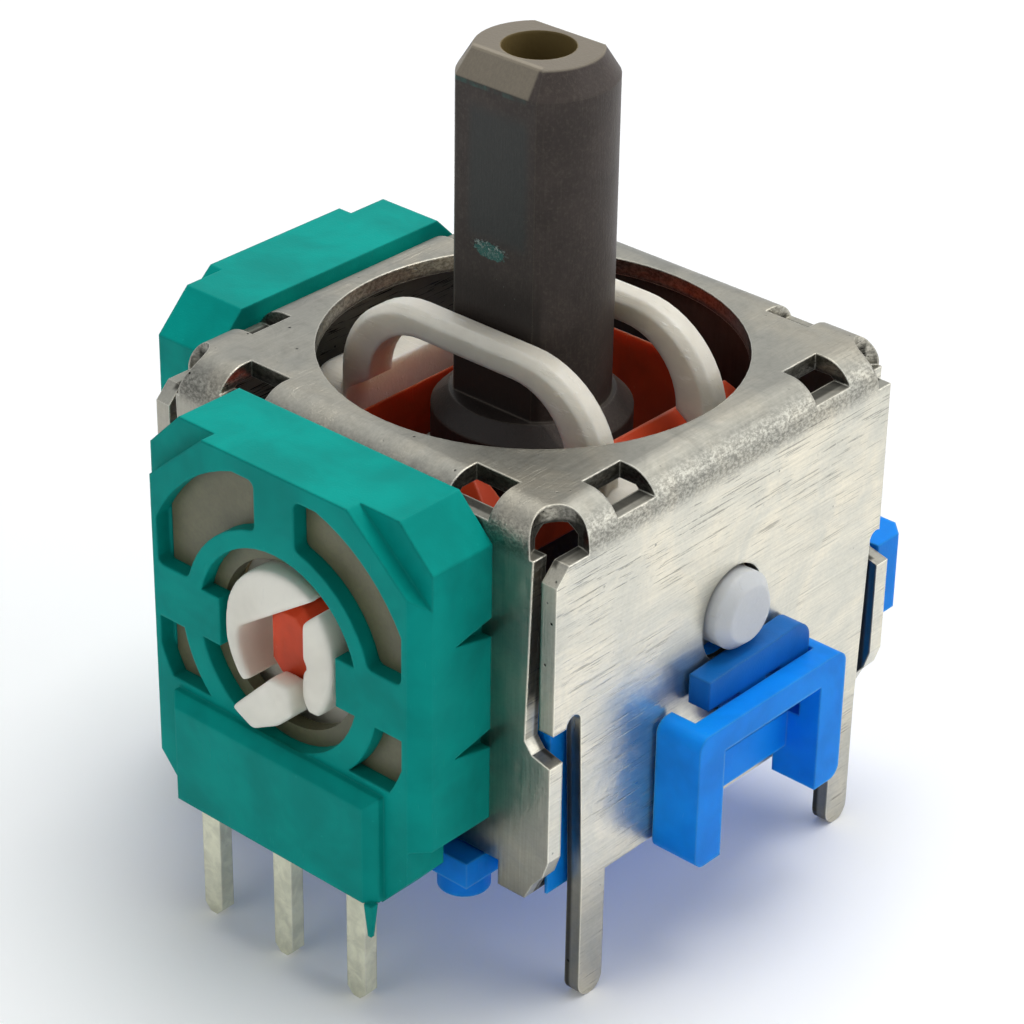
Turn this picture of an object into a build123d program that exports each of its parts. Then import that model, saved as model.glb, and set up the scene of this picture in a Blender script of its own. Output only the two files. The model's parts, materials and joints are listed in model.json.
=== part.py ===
# Two-axis thumb-stick module for a controller: a steel can over a moulded base, two side pots,
# a stick in a nylon bail and a slotted yoke, and a lever that a press of the stick pushes down.
# Millimetres. Z is up along the stick, z = 0 is the plane of the circuit board it stands on.
# -Y is the side of the front pot, -X the side of the left pot, +X the side of the switch bracket.
import os
from math import sqrt

from build123d import *

os.makedirs("parts", exist_ok=True)

# Gimbal, from the stick outwards: what each piece adds to the one inside it
axis_height = 5.65
running_gap = 0.10
side_gap = 0.08
same_size = 0.01
stick_radius = 1.96
collar_shoulder = 0.56
slot_gap = 0.22
yoke_flank = 0.38
cheek_room = 0.88
cheek_thickness = 1.2
cheek_gap = 0.15
post_depth = 0.6
base_gap = 0.14
sheet = 0.45
collar_radius = stick_radius + collar_shoulder
yoke_flank_inner = collar_radius + slot_gap
yoke_half_width = yoke_flank_inner + yoke_flank
cheek_inner = yoke_half_width + cheek_room
cheek_outer = cheek_inner + cheek_thickness
post_inner = cheek_outer + cheek_gap
base_half = post_inner + post_depth
can_inner = base_half + base_gap
can_half = can_inner + sheet

# Slotted yoke, heights from the gimbal's axis
yoke_radius = 4.2
yoke_headroom = 0.14
yoke_flank_height = 2.6
yoke_flank_bottom = yoke_radius - yoke_flank_height
yoke_end_step = 0.45
yoke_end_radius = yoke_radius - yoke_end_step
yoke_end_room = 0.65
yoke_end_outer = post_inner - yoke_end_room
yoke_end_thickness = 0.92
yoke_end_inner = yoke_end_outer - yoke_end_thickness
yoke_hub_radius = 1.6
yoke_dome_radius = 5.25

# Steel can
can_ceiling = axis_height + yoke_radius + yoke_headroom
can_top = can_ceiling + sheet
can_bend = 0.95
opening_margin = 1.195
opening_radius = can_half - opening_margin
window_depth = 1.19
window_inner = can_half - window_depth
window_inset = 2.17
window_end = can_half - window_inset
window_length = 1.35
window_start = window_end - window_length
window_drop = 0.54
window_floor = can_top - window_drop
seam_foot_inset = 0.99
seam_foot_edge = can_half - seam_foot_inset
seam_top_inset = 0.71
seam_top_edge = can_half - seam_top_inset
relief_inset_x = 0.39
relief_x = can_half - relief_inset_x
relief_inset_y = 0.54
relief_y = can_half - relief_inset_y
relief_radius = 0.68
relief_slope = 0.42
rear_edge_inset = 0.59
rear_edge = can_half - rear_edge_inset
notch_height = 5.05
notch_radius = 0.25
notch_inset = 0.72
notch_y = can_half - notch_inset
wall_foot = 0.3
leg_inset = 2.02
leg_inner = can_half - leg_inset
leg_width = 0.86
leg_outer = leg_inner + leg_width
pin_length = 3.2
strip_foot = 0.8
tab_inset = 0.08
tab_reach = can_half - tab_inset
tab_bottom = 1.45
tab_top = 4.1
tab_slope = 0.6
tab_corner = 0.5
claw_inset = 1.64
claw_start = can_half - claw_inset
claw_width = 0.85
claw_end = claw_start + claw_width
claw_depth = 0.85
claw_bottom = 0.1

# Stick, heights from the gimbal's axis
stick_flat = 1.5
stick_top = 18.26
stick_chamfer_radial = 0.4
stick_chamfer_axial = 0.65
cap_bore_radius = 0.9
cap_bore_depth = 5.0
collar_top = 3.65
collar_bottom = 1.3
collar_bevel = 0.45
core_step = 0.26
core_radius = stick_radius - core_step
core_bottom = -1.0
stem_step = 0.25
stem_radius = core_radius - stem_step
stem_wall = 0.37
spring_bore_radius = stem_radius - stem_wall
spring_bore_top = -0.9
trunnion_radius = 0.68
trunnion_slack = 0.04

# Spring shoe that sweeps over the floor, and the stem and spring above it
floor_thickness = 0.9
shoe_clearance = 0.4
shoe_sweep = axis_height - floor_thickness - shoe_clearance
shoe_thickness = 0.6
shoe_travel_room = 0.55
shoe_hub_rise = 0.4
shoe_radius = 1.9
shoe_top = shoe_thickness - shoe_sweep
stem_bottom = shoe_top + shoe_travel_room
shoe_hub_top = stem_bottom + shoe_hub_rise
shoe_hub_radius = spring_bore_radius - side_gap
spring_wire = 0.13
spring_radius = spring_bore_radius - spring_wire - running_gap
spring_turns = 2
spring_sides = 4

# Nylon bail, heights from the gimbal's axis
cradle_room = 0.2
cradle_inner = core_radius + cradle_room
cradle_thickness = 0.7
cradle_outer = cradle_inner + cradle_thickness
trunnion_inset = 0.05
trunnion_end = cradle_outer - trunnion_inset
cheek_half_width = cradle_outer
rail_width = 0.85
rail_shoulder = 0.13
rail_inner = cheek_half_width - rail_width - rail_shoulder
rail_step = 0.33
rail_leg = 1.08
rail_height = 1.78
rail_thickness = 0.68
rail_outer_radius = 2.58
rail_inner_radius = 1.75
rail_corner = 0.2
cheek_drop = 1.0
cheek_top = yoke_radius - cheek_drop
cheek_bottom = -2.0
cheek_round = 0.8
rail_foot_lap = 0.6
leg_foot = cheek_top - rail_foot_lap
leg_lean = 0.15
cradle_lap = 0.3
cradle_boss_radius = 1.15
cradle_dip_top = -0.75
cradle_dip_start = core_radius
cradle_dip_margin = 0.15
cradle_dip_end = cheek_inner - cradle_dip_margin
journal_radius = 1.35
journal_inset = 0.09
journal_end = can_half - journal_inset
bearing_radius = journal_radius + running_gap
nub_radius = 1.02
nub_length = 0.56
nub_end = can_half + nub_length
nub_chamfer = 0.28
nub_hole_radius = nub_radius + running_gap
nub_slack = 0.06
click_travel = 0.3

# Moulded base
corner_post = 1.1
corner_inner = base_half - corner_post
corner_drop = 0.65
corner_top = axis_height - corner_drop
post_half_width = 2.1
claw_gap = 0.12
peg_pad = 0.92
peg_leg_gap = 0.1
peg_x = leg_inner - peg_pad - peg_leg_gap
peg_inset = 0.34
peg_y = peg_inset - can_half
peg_radius = 0.66
peg_depth = 0.7
hook_overhang = 0.55
hook_inner_x = corner_inner - hook_overhang
hook_neck_width = 1.0
hook_neck_x = hook_inner_x + hook_neck_width
hook_width = 1.8
hook_outer_x = hook_inner_x + hook_width
hook_bottom = 2.1
hook_drop = 0.7
hook_top = corner_top - hook_drop
hook_length = 1.36
hook_reach = can_half + hook_length
hook_chamfer = 0.4

# Click lever under the nub, and the switch bracket on the base that carries it
lever_gap = 0.03
lever_contact_z = axis_height - nub_radius - lever_gap
lever_contact_end = 0.6
lever_pivot_y = 1.65
lever_pivot_drop = 1.22
lever_pivot_z = lever_contact_z - lever_pivot_drop
lever_pin_radius = 0.27
lever_pin_slack = 0.03
lever_knuckle = 0.56
lever_knuckle_drop = 0.5
lever_knuckle_z = lever_contact_z - lever_knuckle_drop
lever_arm_end = -1.7
lever_arm_slope = 0.05
lever_arm_end_top = lever_contact_z - lever_arm_slope
lever_arm_height = 0.85
lever_arm_bottom = lever_contact_z - lever_arm_height
lever_foot_half = 0.5
lever_wall_gap = 0.10
lever_back = can_half + lever_wall_gap
lever_width = 0.63
lever_front = lever_back + lever_width
lever_room_half = 2.3
bay_half = 1.88
bay_wall_bottom = 0.9
bay_wall_top = 1.95
bay_wall_depth = 0.46
bay_wall_face = can_half + bay_wall_depth
lever_foot_room = 0.5
lever_foot_bottom = bay_wall_top + lever_foot_room
bracket_leg_width = 0.97
bracket_half = bay_half + bracket_leg_width
bracket_back = can_half + side_gap
bracket_bar_depth = 0.81
bar_back = can_half + bracket_bar_depth
bracket_depth = 1.43
bracket_face = can_half + bracket_depth
bar_over_pivot = 0.37
bar_top = lever_pivot_z + bar_over_pivot
bar_under_pivot = 0.33
bar_bottom = lever_pivot_z - bar_under_pivot
bracket_round = 0.35
bracket_window_half = 1.7
neck_side_gap = 0.1
neck_half = bracket_window_half - neck_side_gap
neck_bottom = bay_wall_bottom + side_gap
neck_top_gap = 0.1
neck_top = bay_wall_top - neck_top_gap
neck_overlap = 0.6

# Pots, drawn for the front one
pot_half = 4.6
pot_rise = 4.78
pot_top = axis_height + pot_rise
pot_drop = 3.75
pot_bottom = axis_height - pot_drop
pot_chamfer = 1.03
pot_depth = 1.98
pot_face = can_half + pot_depth
pot_wall = 0.65
plate_thickness = 0.43
plate_face = pot_face + plate_thickness
plate_bevel = 0.4
plate_half = pot_half - plate_bevel
plate_top_half = 2.35
plate_drop = 1.95
tongue_thickness = 1.25
tongue_bottom = 0.1
tongue_corner_x = 0.8
tongue_corner_z = 0.9
block_inset = 0.75
block_half = plate_half - block_inset
block_thickness = 0.45
block_face = plate_face + block_thickness
block_corner = 0.28
block_height = 1.25
block_top = pot_bottom + block_height
block_lift = 0.1
block_bottom = tongue_bottom + block_lift
hub_opening = 2.62
tooth_reach = 1.93
tooth_half = 0.66
ring_width = 0.46
window_ring_inner = hub_opening + ring_width
window_rim = 0.06
window_ring_outer = pot_half - window_rim
window_side_rim = 0.17
window_side = plate_half - window_side_rim
window_top_rim = 0.45
window_top = pot_top - window_top_rim
window_web = 0.65
window_upper_lift = 0.8
window_upper_foot = axis_height + window_upper_lift
window_lower_drop = 0.68
window_lower_top = axis_height - window_lower_drop
window_lower_depth = 2.28
window_lower_foot = axis_height - window_lower_depth
ring_swell = 0.17
window_lower_inner = window_ring_inner + ring_swell
window_lower_rim = 0.3
window_lower_outer = pot_half - window_lower_rim
window_round = min(0.2, (window_ring_outer - window_ring_inner) / 7)
snap_depth = 0.3
snap_length = 1.23
snap_start = can_half + snap_length
snap_half = 0.26
snap_rise = 1.55
snap_drop = 1.5
snap_heights = (axis_height + snap_rise, axis_height - snap_drop)

# Board behind the face, rotor with its blade slot, wiper and pins
face_thickness = 0.42
board_face = plate_face - face_thickness
board_thickness = 0.4
board_top_rim = 0.53
board_top = pot_top - board_top_rim
board_foot_rim = 0.5
board_bottom = pot_bottom + board_foot_rim
board_corner = 1.1
board_gap = 0.04
blade_width = 1.5
blade_height = 2.1
blade_corner = 0.42
blade_chamfer = 0.22
blade_gap = 0.05
blade_recess = 0.4
blade_end = plate_face - blade_recess
rotor_flange_radius = 2.9
finger_root_radius = 2.1
rotor_wall_gap = 0.12
rotor_back = can_half + rotor_wall_gap
wiper_room = 0.38
rotor_flange_face = board_face - board_thickness - wiper_room
finger_proud = 0.05
finger_tip = plate_face + finger_proud
bar_proud = 0.3
bar_tip = plate_face + bar_proud
wiper_outer = rotor_flange_radius - running_gap
wiper_width = 0.48
wiper_inner = wiper_outer - wiper_width
wiper_thickness = 0.12
wiper_tongue = 0.1
wiper_tongue_angles = (45, 135)
pin_pitch = 2.5
pin_count = 3
pin_width = 0.62
pin_thickness = 0.4
pin_gap = 0.02
pin_y = board_face + pin_gap + pin_thickness / 2
pin_head_length = 0.45
pin_head_top = board_bottom + pin_head_length
pin_tip_bevel = 0.2
flash_length = 0.95
flash_width = 0.12
flash_taper = 4
pot_sides = (("front", 0), ("left", -90))

# Outlines of the rotor's three fingers, sideways and up from the gimbal's axis
hook_tip = (1.21, 1.86)
hook_crown = (-0.45, 2.05)
hook_shoulder = (-1.72, 0.35)
hook_side = (-1.68, -0.5)
hook_toe = (-1.2, -1.35)
hook_toe_inner = (-0.92, -1.15)
hook_inside = (-1.28, -0.5)
hook_root = (-1.3, 0.13)
jaw_tip = (1.38, 1.6)
jaw_outside = (1.83, 0.2)
jaw_foot = (1.35, -1.25)
jaw_heel = (0.98, -1.25)
jaw_inside_low = (0.82, -0.9)
jaw_inside_high = (0.84, 1.12)
jaw_nick = (0.82, -0.03)
jaw_nick_radius = 0.15
bar_outline = ((-1.35, -2.0), (-0.62, -2.34), (0.2, -1.9), (0.75, -1.35), (0.62, -0.62), (0.02, -0.62))

# Smaller laps
cap_skirt = 0.05


def turned(part, angle):
    """The same piece turned about the stick's axis: the left pot is the front pot turned."""
    return part.rotate(Axis.Z, angle)


# Section of the blades that turn the rotors, and of the slots that they fit
with BuildSketch() as blade_outline:
    Rectangle(blade_width, blade_height)
    chamfer(blade_outline.vertices(), blade_corner)
with BuildSketch() as blade_slot:
    Rectangle(blade_width + 2 * blade_gap, blade_height + 2 * blade_gap)
    chamfer(blade_slot.vertices(), blade_corner)


# Steel can: the cap with its bends, four walls that meet at open seams, legs and claws
with BuildPart() as can_core:
    with BuildSketch(Plane.XY.offset(can_top - can_bend - sheet)):
        Rectangle(2 * can_inner, 2 * can_inner)
    extrude(amount=can_bend)
    chamfer(can_core.faces().sort_by(Axis.Z)[-1].edges(), (can_bend - sheet) / 2)

with BuildPart() as cover:
    cap_foot = can_top - can_bend - cap_skirt
    with BuildSketch(Plane.XY.offset(cap_foot)):
        Rectangle(2 * can_half, 2 * can_half)
    extrude(amount=can_top - cap_foot)
    fillet(cover.faces().sort_by(Axis.Z)[-1].edges(), can_bend)
    add(can_core.part, mode=Mode.SUBTRACT)
    with BuildSketch(Plane.XY.offset(can_ceiling - sheet)):
        Circle(opening_radius)
    extrude(amount=2 * sheet + can_bend, mode=Mode.SUBTRACT)
    # Windows across the four top bends
    window_mid = (window_start + window_end) / 2
    window_long = window_end - window_start
    with BuildSketch(Plane.XY.offset(window_floor)):
        with GridLocations(2 * (window_inner + can_bend), 2 * window_mid, 2, 2):
            Rectangle(2 * can_bend, window_long)
        with GridLocations(2 * window_mid, 2 * (window_inner + can_bend), 2, 2):
            Rectangle(window_long, 2 * can_bend)
    extrude(amount=can_bend, mode=Mode.SUBTRACT)
    # Walls with the legs, on the left and right
    for wall_x, foot in ((can_inner, wall_foot), (-can_half, strip_foot)):
        with BuildSketch(Plane.YZ.offset(wall_x)):
            with BuildLine():
                Polyline(
                    (-can_half, notch_height),
                    (-can_half, cap_foot - relief_slope),
                    (-can_half + relief_slope, cap_foot),
                    (rear_edge, cap_foot),
                    (rear_edge, notch_height),
                    (notch_y - notch_radius, notch_height),
                    (leg_outer, foot),
                    (-leg_outer, foot),
                    (notch_radius - notch_y, notch_height),
                    close=True,
                )
            make_face()
            with Locations((-notch_y, notch_height), (notch_y, notch_height)):
                Circle(notch_radius, mode=Mode.SUBTRACT)
            for side in (-1, 1):
                with Locations((side * (leg_inner + leg_width / 2), (foot + leg_width - pin_length) / 2)):
                    SlotOverall(foot + leg_width + pin_length, leg_width, rotation=90)
        extrude(amount=sheet)
    # Walls with the claws, at the front and rear
    for wall_plane in (Plane.XZ.offset(can_inner), Plane.XZ.offset(-can_half)):
        with BuildSketch(wall_plane):
            with BuildLine():
                Polyline(
                    (seam_foot_edge, strip_foot),
                    (seam_top_edge, cap_foot),
                    (-seam_top_edge, cap_foot),
                    (-seam_foot_edge, strip_foot),
                    close=True,
                )
            make_face()
            for side in (-1, 1):
                with BuildLine():
                    Polyline(
                        (side * seam_foot_edge, tab_top + tab_slope),
                        (side * (seam_foot_edge + can_bend - tab_slope), tab_top + tab_slope / 4),
                        (side * tab_reach, tab_top),
                        (side * tab_reach, tab_bottom),
                        (side * (tab_reach - tab_corner / 3), tab_bottom - tab_corner),
                        (side * (tab_reach - tab_corner), claw_bottom + sheet),
                        (side * claw_end, claw_bottom),
                        (side * claw_start, claw_bottom),
                        (side * claw_start, tab_top),
                        close=True,
                    )
                make_face()
        extrude(amount=sheet)
    with BuildSketch(Plane.XY.offset(claw_bottom)):
        claw_mid = (claw_start + claw_end) / 2
        with GridLocations(2 * claw_mid, 2 * can_half - claw_depth, 2, 2):
            Rectangle(claw_end - claw_start, claw_depth)
    extrude(amount=sheet)
    # Bearing holes for the journals, and the long hole that the nub moves down in
    with BuildSketch(Plane.XZ.offset(-can_half)):
        with Locations((0, axis_height)):
            Circle(bearing_radius)
    extrude(amount=2 * can_half, mode=Mode.SUBTRACT)
    with BuildSketch(Plane.YZ.offset(-can_half)):
        with Locations((0, axis_height)):
            Circle(bearing_radius)
    extrude(amount=sheet, mode=Mode.SUBTRACT)
    with BuildSketch(Plane.YZ.offset(can_inner)):
        with Locations((0, axis_height - (click_travel + nub_slack) / 2)):
            SlotOverall(2 * nub_hole_radius + click_travel + nub_slack, 2 * nub_hole_radius, rotation=90)
        with Locations((0, (bay_wall_bottom + bay_wall_top) / 2)):
            Rectangle(2 * bracket_window_half, bay_wall_top - bay_wall_bottom)
    extrude(amount=sheet, mode=Mode.SUBTRACT)
    # Window that the base's hook passes through
    with BuildSketch(Plane.XZ.offset(-can_half)):
        with Locations(((hook_inner_x + hook_neck_x) / 2, (hook_bottom + hook_top) / 2)):
            Rectangle(
                hook_neck_x - hook_inner_x + 2 * side_gap,
                hook_top - hook_bottom + 2 * side_gap,
            )
    extrude(amount=sheet, mode=Mode.SUBTRACT)
    # Round reliefs that were punched through the flat sheet before its corners were bent
    with BuildSketch(Plane.XY.offset(cap_foot)):
        with GridLocations(2 * relief_x, 2 * relief_y, 2, 2):
            Circle(relief_radius)
    extrude(amount=can_top - cap_foot, mode=Mode.SUBTRACT)
cover.part.label = "cover"
export_step(cover.part, "parts/cover.step")


# Moulded base: floor, corner posts, bearing posts, pegs, hook and the switch bracket
with BuildPart() as base:
    with BuildSketch():
        Rectangle(2 * base_half, 2 * base_half)
    extrude(amount=floor_thickness)
    with BuildSketch(Plane.XY.offset(floor_thickness)):
        corner_mid = (corner_inner + base_half) / 2
        with GridLocations(2 * corner_mid, 2 * corner_mid, 2, 2):
            Rectangle(base_half - corner_inner, base_half - corner_inner)
    extrude(amount=corner_top - floor_thickness)
    # Posts with open-topped bearings at the front, the rear and the left
    post_mid = post_inner + post_depth / 2
    with BuildSketch(Plane.XY.offset(floor_thickness)):
        with Locations((0, -post_mid), (0, post_mid)):
            Rectangle(2 * post_half_width, post_depth)
        with Locations((-post_mid, 0)):
            Rectangle(post_depth, 2 * post_half_width)
    extrude(amount=axis_height - floor_thickness)
    with BuildSketch(Plane.XZ.offset(-can_half)):
        with Locations((0, axis_height)):
            Circle(bearing_radius)
    extrude(amount=2 * can_half, mode=Mode.SUBTRACT)
    with BuildSketch(Plane.YZ.offset(-can_half)):
        with Locations((0, axis_height)):
            Circle(bearing_radius)
    extrude(amount=can_half - post_inner + post_depth, mode=Mode.SUBTRACT)
    # Room for the claws under the corners
    with BuildSketch():
        with GridLocations(2 * claw_mid, 2 * base_half, 2, 2):
            Rectangle(
                claw_end - claw_start + 2 * claw_gap,
                2 * (base_half - can_half + claw_depth + claw_gap),
            )
    extrude(amount=claw_bottom + sheet + claw_gap, mode=Mode.SUBTRACT)
    # Locating pegs on pads that reach out under the front and left pots
    for turn in (0, -90):
        pad_centre = Vector(peg_x, peg_y, 0).rotate(Axis.Z, turn)
        with BuildSketch():
            with Locations((pad_centre.X, pad_centre.Y)):
                Rectangle(2 * peg_pad, 2 * peg_pad)
        extrude(amount=strip_foot - side_gap)
        with BuildSketch():
            with Locations((pad_centre.X, pad_centre.Y)):
                Circle(peg_radius)
        extrude(amount=-peg_depth)
    # Snap hook through the rear wall
    with BuildSketch(Plane.XY.offset(hook_bottom)):
        with BuildLine():
            Polyline(
                (hook_inner_x, corner_inner),
                (hook_inner_x, hook_reach - hook_chamfer),
                (hook_inner_x + hook_chamfer, hook_reach),
                (hook_outer_x - hook_chamfer, hook_reach),
                (hook_outer_x, hook_reach - hook_chamfer),
                (hook_outer_x, can_half + side_gap),
                (hook_neck_x, can_half + side_gap),
                (hook_neck_x, corner_inner),
                close=True,
            )
        make_face()
    extrude(amount=hook_top - hook_bottom)
    # Switch bracket: two legs, a bar across their tops, and a low wall behind the bay
    with BuildSketch(Plane.YZ.offset(bar_back)):
        with Locations((0, bar_top / 2)):
            RectangleRounded(2 * bracket_half, bar_top, bracket_round)
        with Locations((0, bar_bottom / 2)):
            Rectangle(2 * bay_half, bar_bottom, mode=Mode.SUBTRACT)
    extrude(amount=bracket_face - bar_back)
    with BuildSketch(Plane.YZ.offset(bracket_back)):
        with Locations((0, bar_top / 2)):
            RectangleRounded(2 * bracket_half, bar_top, bracket_round)
        with Locations((0, (bar_top + bay_wall_top) / 2)):
            Rectangle(2 * lever_room_half, bar_top - bay_wall_top, mode=Mode.SUBTRACT)
        with Locations((lever_pivot_y, lever_pivot_z)):
            Circle(lever_knuckle + running_gap, mode=Mode.SUBTRACT)
        with Locations((0, bay_wall_bottom / 2)):
            Rectangle(2 * bay_half, bay_wall_bottom, mode=Mode.SUBTRACT)
    extrude(amount=bar_back - bracket_back)
    with BuildSketch(Plane.YZ.offset(bay_wall_face)):
        with Locations((0, bar_bottom / 2)):
            Rectangle(2 * bay_half, bar_bottom)
    extrude(amount=bar_back - bay_wall_face, mode=Mode.SUBTRACT)
    # Neck of the bracket through the right wall, down to the floor
    with BuildSketch(Plane.YZ.offset(base_half - neck_overlap)):
        with Locations((0, (neck_bottom + neck_top) / 2)):
            Rectangle(2 * neck_half, neck_top - neck_bottom)
    extrude(amount=bay_wall_face - base_half + neck_overlap)
    with BuildSketch(Plane.YZ.offset(base_half - neck_overlap)):
        with Locations((0, neck_top / 2)):
            Rectangle(2 * neck_half, neck_top)
    extrude(amount=neck_overlap)
    # Pin that the click lever turns on
    with BuildSketch(Plane.YZ.offset(bar_back)):
        with Locations((lever_pivot_y, lever_pivot_z)):
            Circle(lever_pin_radius)
    extrude(amount=lever_back - bar_back)
base.part.label = "base"
export_step(base.part, "parts/base.step")


# Click lever: a knuckle on the bracket's pin, an arm under the nub and a foot over the switch bay
with BuildPart() as click_lever:
    with BuildSketch(Plane.YZ.offset(lever_back)):
        with BuildLine():
            Polyline(
                (lever_pivot_y, lever_knuckle_z + lever_knuckle),
                (lever_contact_end, lever_contact_z),
                (-lever_contact_end, lever_contact_z),
                (lever_arm_end, lever_arm_end_top),
                (lever_arm_end, lever_arm_bottom),
                (-lever_foot_half, lever_arm_bottom),
                (-lever_foot_half, lever_foot_bottom),
                (lever_foot_half, lever_foot_bottom),
                (lever_foot_half, lever_arm_bottom),
                (lever_pivot_y, lever_arm_bottom),
                close=True,
            )
        make_face()
        with Locations((lever_pivot_y, lever_knuckle_z)):
            Circle(lever_knuckle)
        with Locations((lever_pivot_y, (lever_pivot_z + lever_knuckle_z) / 2)):
            Rectangle(2 * lever_knuckle, lever_knuckle_z - lever_pivot_z)
        with Locations((lever_pivot_y, lever_pivot_z)):
            Circle(lever_knuckle)
            Circle(lever_pin_radius + lever_pin_slack, mode=Mode.SUBTRACT)
    extrude(amount=lever_front - lever_back)
click_lever.part.label = "click_lever"
export_step(click_lever.part, "parts/click_lever.step")


# Stick: shaft with two flats and a cap bore, collar, trunnions and a hollow stem below
with BuildPart() as stick:
    with BuildSketch(Plane.XY.offset(axis_height + collar_top - collar_bevel)):
        Circle(stick_radius)
        Rectangle(2 * stick_radius, 2 * stick_flat, mode=Mode.INTERSECT)
    extrude(amount=stick_top - axis_height - collar_top + collar_bevel)
    chamfer(stick.faces().sort_by(Axis.Z)[-1].edges(), stick_chamfer_axial, stick_chamfer_radial)
    with BuildSketch(Plane.XY.offset(axis_height + collar_bottom)):
        Circle(collar_radius)
    extrude(amount=collar_top - collar_bottom)
    collar_rims = stick.edges().filter_by(GeomType.CIRCLE).filter_by(
        lambda edge: abs(edge.radius - collar_radius) < same_size
    )
    chamfer(collar_rims.sort_by(Axis.Z)[-1:], collar_bevel)
    with BuildSketch(Plane.XY.offset(axis_height + core_bottom)):
        Circle(core_radius)
    extrude(amount=collar_bottom - core_bottom)
    with BuildSketch(Plane.XZ.offset(-trunnion_end)):
        with Locations((0, axis_height)):
            Circle(trunnion_radius)
    extrude(amount=2 * trunnion_end)
    with BuildSketch(Plane.XY.offset(axis_height + stem_bottom)):
        Circle(stem_radius)
    extrude(amount=core_bottom - stem_bottom)
    with BuildSketch(Plane.XY.offset(axis_height + stem_bottom)):
        Circle(spring_bore_radius)
    extrude(amount=spring_bore_top - stem_bottom, mode=Mode.SUBTRACT)
    with Locations((0, 0, stick_top)):
        Hole(cap_bore_radius, depth=cap_bore_depth)
stick.part.label = "stick"
export_step(stick.part, "parts/stick.step")


# Nylon bail: two rails over the can, cheeks, a cradle for the trunnions, journal, blade and nub
with BuildPart() as bail:
    outer_side = cheek_inner + rail_step
    inner_side = outer_side - rail_leg
    rail_top = axis_height + yoke_radius + rail_height
    rail_under = rail_top - rail_thickness
    outer_x, outer_z = outer_side - rail_outer_radius, rail_top - rail_outer_radius
    inner_x, inner_z = inner_side - rail_inner_radius, rail_under - rail_inner_radius
    foot_z = axis_height + leg_foot
    lean_z = axis_height + cheek_top - leg_lean
    for rail_plane in (Plane.XZ.offset(rail_inner), Plane.XZ.offset(-rail_inner - rail_width)):
        with BuildSketch(rail_plane):
            with BuildLine():
                Line((-outer_x, rail_top), (outer_x, rail_top))
                Line((-inner_x, rail_under), (inner_x, rail_under))
                for side in (-1, 1):
                    RadiusArc(
                        (side * outer_x, rail_top),
                        (side * outer_side, outer_z),
                        side * rail_outer_radius,
                    )
                    Polyline(
                        (side * outer_side, outer_z),
                        (side * outer_side, foot_z),
                        (side * cheek_inner, foot_z),
                        (side * cheek_inner, lean_z),
                        (side * inner_side, inner_z),
                    )
                    RadiusArc(
                        (side * inner_side, inner_z),
                        (side * inner_x, rail_under),
                        -side * rail_inner_radius,
                    )
            make_face()
        extrude(amount=rail_width)
    rail_edges = bail.edges().filter_by(lambda edge: edge.length > rail_width + same_size)
    over = rail_edges.filter_by_position(Axis.Z, rail_top - same_size, rail_top + same_size)
    bends = rail_edges.filter_by(GeomType.CIRCLE).filter_by(
        lambda edge: abs(edge.radius - rail_outer_radius) < same_size
    )
    chamfer(over + bends, rail_corner)
    # Cheeks with rounded corners
    for cheek_plane in (Plane.YZ.offset(cheek_inner), Plane.YZ.offset(-cheek_outer)):
        with BuildSketch(cheek_plane):
            with Locations((0, axis_height + (cheek_top + cheek_bottom) / 2)):
                RectangleRounded(2 * cheek_half_width, cheek_top - cheek_bottom, cheek_round)
        extrude(amount=cheek_outer - cheek_inner)
    # Cradle bars that dip under the yoke, with a boss and a bore for each trunnion
    for cradle_plane in (Plane.XZ.offset(cradle_inner), Plane.XZ.offset(-cradle_outer)):
        with BuildSketch(cradle_plane):
            with BuildLine():
                Polyline(
                    (-cheek_inner - cradle_lap, axis_height),
                    (-cradle_dip_end, axis_height + cradle_dip_top),
                    (-cradle_dip_start, axis_height + cradle_dip_top),
                    (0, axis_height + cradle_dip_top / 2),
                    (cradle_dip_start, axis_height + cradle_dip_top),
                    (cradle_dip_end, axis_height + cradle_dip_top),
                    (cheek_inner + cradle_lap, axis_height),
                    (cheek_inner + cradle_lap, axis_height + cheek_bottom + cheek_round),
                    (cheek_inner - cradle_lap, axis_height + cheek_bottom),
                    (-cheek_inner + cradle_lap, axis_height + cheek_bottom),
                    (-cheek_inner - cradle_lap, axis_height + cheek_bottom + cheek_round),
                    close=True,
                )
            make_face()
            with Locations((0, axis_height)):
                Circle(cradle_boss_radius)
                Circle(trunnion_radius + trunnion_slack, mode=Mode.SUBTRACT)
        extrude(amount=cradle_outer - cradle_inner)
    # Journal, blade and nub on the bail's own axis
    with BuildSketch(Plane.YZ.offset(-cheek_outer)):
        with Locations((0, axis_height)):
            Circle(journal_radius)
    extrude(amount=cheek_outer - journal_end)
    with BuildSketch(Plane.YZ.offset(-journal_end)):
        with Locations((0, axis_height)):
            add(blade_outline.sketch)
    extrude(amount=journal_end - blade_end)
    chamfer(bail.faces().sort_by(Axis.X)[0].edges(), blade_chamfer)
    with BuildSketch(Plane.YZ.offset(cheek_outer)):
        with Locations((0, axis_height)):
            Circle(nub_radius)
    extrude(amount=nub_end - cheek_outer)
    chamfer(bail.faces().sort_by(Axis.X)[-1].edges(), nub_chamfer)
bail.part.label = "bail"
export_step(bail.part, "parts/bail.step")


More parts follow.
